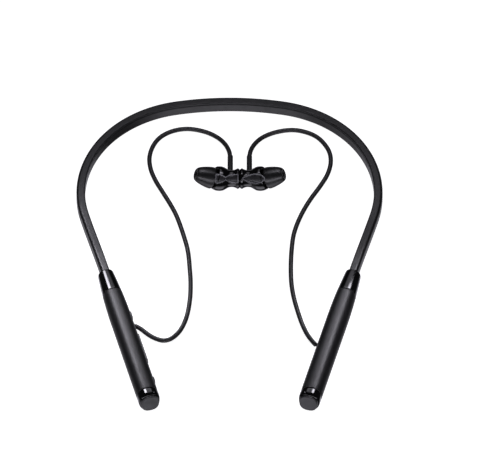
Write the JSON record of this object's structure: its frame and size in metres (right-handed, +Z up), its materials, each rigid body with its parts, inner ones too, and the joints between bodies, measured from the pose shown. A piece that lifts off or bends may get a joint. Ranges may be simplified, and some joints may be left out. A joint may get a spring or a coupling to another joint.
{
  "type": "neckband earphones",
  "caption": "Neckband earphones: a silicone neckband between a control pod and a battery pod, with corded magnetic earbuds and silicone ear tips.",
  "frame": {"origin": "centre of the bounding box's underside, without the free cables, on the table the set lies on", "axes": "+Z up, +Y from the pods' tips towards the back of the neck, +X from the control pod towards the battery pod"},
  "size_m": [0.1614, 0.2174, 0.0141],
  "materials": {
    "band_silicone": "satin moulded silicone",
    "pod_plastic": "fine satin texture",
    "gloss_trim": "piano gloss",
    "cap_plastic": "fine matt grain",
    "cover_rubber": "matt rubber",
    "button_plastic": "semi-gloss",
    "cable_jacket": "satin soft jacket",
    "tip_silicone": "matt soft silicone",
    "bud_gloss": "polished",
    "bud_panel": "satin",
    "circuit_board": "solder mask",
    "bare_metal": "plain",
    "magnet_plate": "plated",
    "shield_can": "stamped",
    "cell_wrap": "shrink wrap",
    "light_lens": "milky"
  },
  "bodies": {
    "root": {"neckband_sleeve": "band_silicone", "memory_strip": "bare_metal", "harness_wire": "cable_jacket", "usb_port": "bare_metal", "main_board": "circuit_board", "wireless_module": "shield_can", "microphone": "bare_metal", "status_light_pipe": "light_lens", "board_screw_front": "bare_metal", "board_screw_rear": "bare_metal", "function_switch": "bare_metal", "volume_down_switch": "bare_metal", "volume_up_switch": "bare_metal", "power_switch": "bare_metal", "right_end_cap": "cap_plastic", "battery_cell": "cell_wrap", "protection_board": "circuit_board", "left_cable": "cable_jacket", "right_cable": "cable_jacket", "left_collar": "gloss_trim", "left_upper_shell": "pod_plastic", "left_lower_shell": "pod_plastic", "left_end_trim": "gloss_trim", "left_cable_gland": "cable_jacket", "right_collar": "gloss_trim", "right_upper_shell": "pod_plastic", "right_lower_shell": "pod_plastic", "right_end_trim": "gloss_trim", "right_cable_gland": "cable_jacket"},
    "function_button": {"function_button": "button_plastic"},
    "volume_rocker": {"volume_rocker": "button_plastic"},
    "power_button": {"power_button": "button_plastic"},
    "usb_cover": {"usb_cover": "cover_rubber"},
    "left_bud": {"left_bud_housing": "bud_gloss", "left_bud_front_panel": "bud_panel", "left_bud_rear_panel": "bud_panel", "left_bud_magnet": "magnet_plate", "left_bud_speaker": "bare_metal", "left_bud_nozzle": "bud_gloss", "left_bud_stem": "cable_jacket", "left_nozzle_mesh": "bare_metal"},
    "left_ear_tip": {"left_ear_tip": "tip_silicone"},
    "right_bud": {"right_bud_housing": "bud_gloss", "right_bud_front_panel": "bud_panel", "right_bud_rear_panel": "bud_panel", "right_bud_magnet": "magnet_plate", "right_bud_speaker": "bare_metal", "right_bud_nozzle": "bud_gloss", "right_bud_stem": "cable_jacket", "right_nozzle_mesh": "bare_metal"},
    "right_ear_tip": {"right_ear_tip": "tip_silicone"}
  },
  "joints": [
    {"name": "function_button_press", "type": "slide", "parent": "root", "child": "function_button", "axis": [-0.9664, -0.2571, 0], "range_m": [0, 0.0003], "stiffness_N_per_m": 600},
    {"name": "volume_rocker_tilt", "type": "hinge", "parent": "root", "child": "volume_rocker", "pos_m": [-0.04703, -0.06971, 0.006], "axis": [0, 0, 1], "range_deg": [-1.5, 1.5], "stiffness_Nm_per_rad": 0.02},
    {"name": "power_button_press", "type": "slide", "parent": "root", "child": "power_button", "axis": [-0.9664, -0.2571, 0], "range_m": [0, 0.0003], "stiffness_N_per_m": 600},
    {"name": "usb_cover_hinge", "type": "hinge", "parent": "root", "child": "usb_cover", "pos_m": [-0.04582, -0.10773, 0.006], "axis": [0, 0, -1], "range_deg": [0, 100]},
    {"name": "left_bud_part", "type": "slide", "parent": "root", "child": "left_bud", "axis": [-1, 0, 0], "range_m": [0, 0.01]},
    {"name": "right_bud_part", "type": "slide", "parent": "root", "child": "right_bud", "axis": [1, 0, 0], "range_m": [0, 0.01]},
    {"name": "left_tip_pull", "type": "slide", "parent": "left_bud", "child": "left_ear_tip", "axis": [-0.9029, -0.079, 0.4226], "range_m": [0, 0.009]},
    {"name": "right_tip_pull", "type": "slide", "parent": "right_bud", "child": "right_ear_tip", "axis": [0.9029, -0.079, 0.4226], "range_m": [0, 0.009]}
  ]
}
